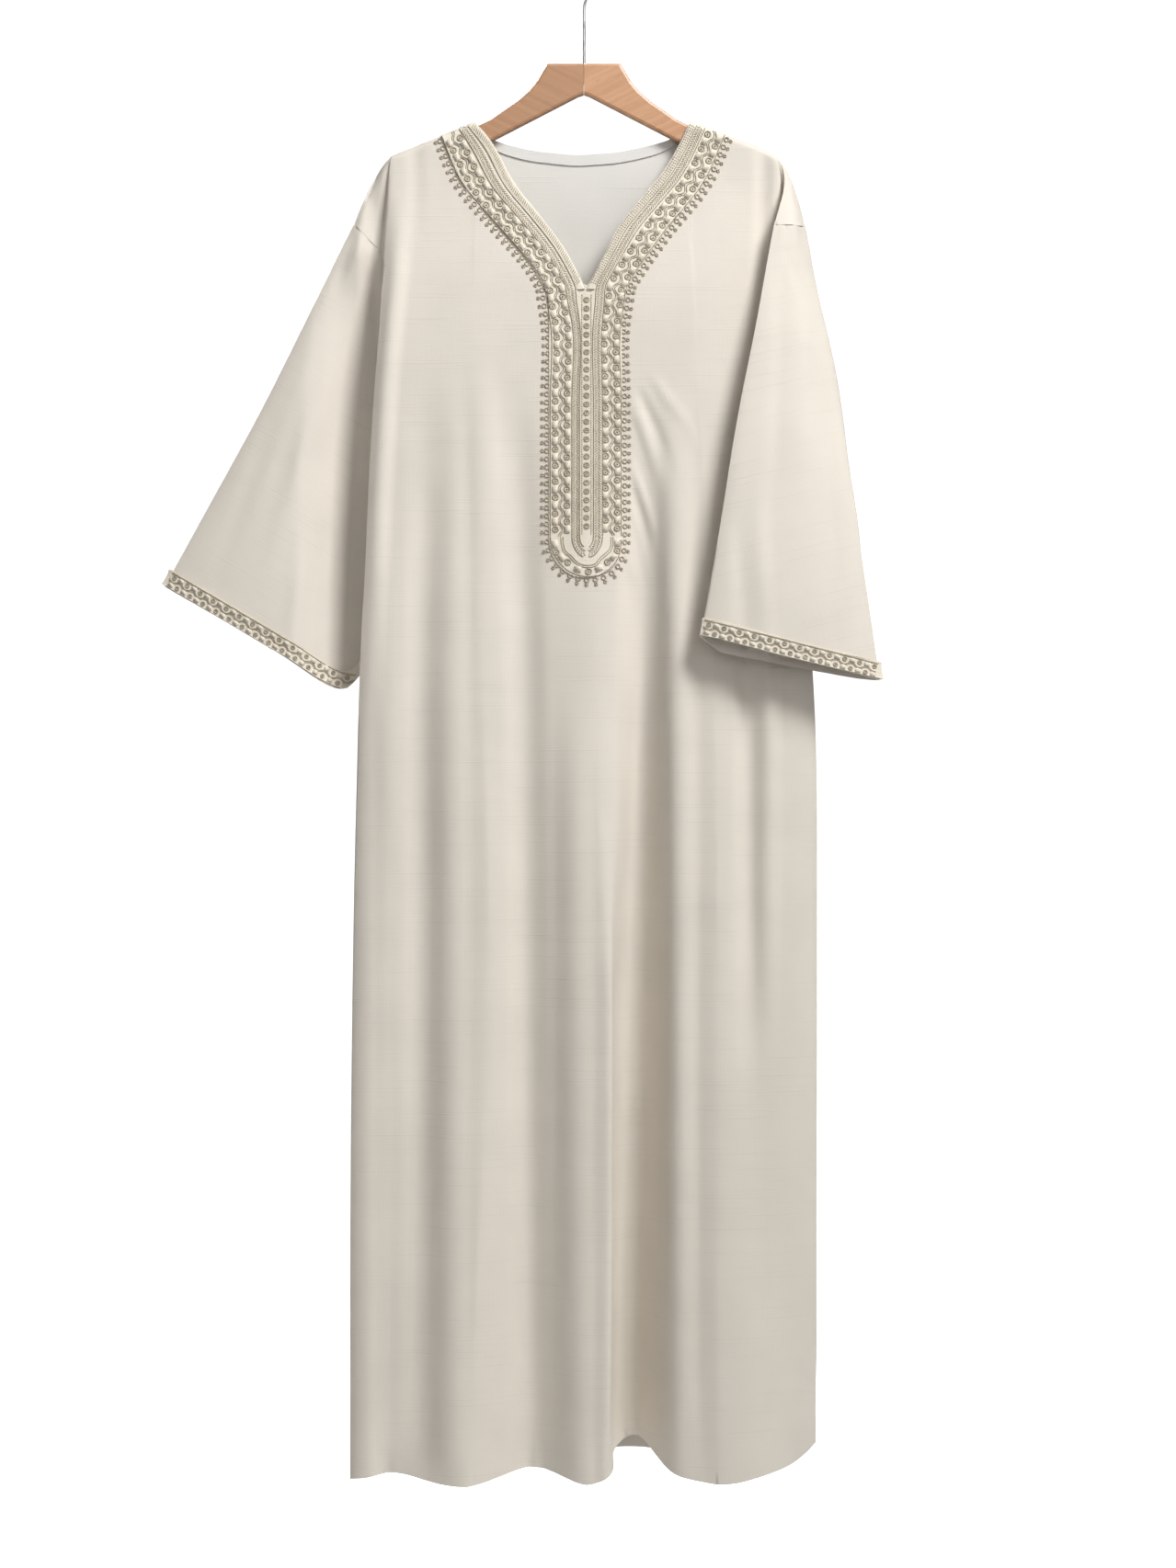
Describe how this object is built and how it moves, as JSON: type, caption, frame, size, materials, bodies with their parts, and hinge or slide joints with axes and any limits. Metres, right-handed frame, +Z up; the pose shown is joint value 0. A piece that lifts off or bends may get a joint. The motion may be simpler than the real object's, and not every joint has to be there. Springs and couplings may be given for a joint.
{
  "type": "embroidered thobe on a wooden coat hanger",
  "caption": "Long cream thobe with embroidered V neck, chest placket and cuffs, hanging on a plain wooden coat hanger.",
  "frame": {"origin": "inside top of the hook's loop, where it rests on its rail", "axes": "+Z up, +X towards the wearer's left, -Y towards the garment's front"},
  "size_m": [0.7813, 0.1377, 1.672],
  "materials": {
    "cloth_front": "matte",
    "cloth_back": "matte",
    "cloth_sleeve_right": "matte",
    "cloth_sleeve_left": "matte",
    "embroidery_cuff_right": "matte",
    "embroidery_cuff_left": "matte",
    "embroidery_neck_right": "matte",
    "embroidery_neck_left": "matte",
    "embroidery_placket": "matte",
    "binding": "matte",
    "wood_right": "satin",
    "wood_left": "satin",
    "steel_wire": "satin"
  },
  "bodies": {
    "root": {"front": "cloth_front", "back": "cloth_back", "sleeve_right": "cloth_sleeve_right", "sleeve_left": "cloth_sleeve_left", "cuff_band_right": "embroidery_cuff_right", "cuff_band_left": "embroidery_cuff_left", "neck_band_right": "embroidery_neck_right", "neck_band_left": "embroidery_neck_left", "placket_band": "embroidery_placket", "back_neck_binding": "binding", "hanger_half_right": "wood_right", "hanger_half_left": "wood_left", "hanger_hook": "steel_wire"}
  },
  "joints": []
}
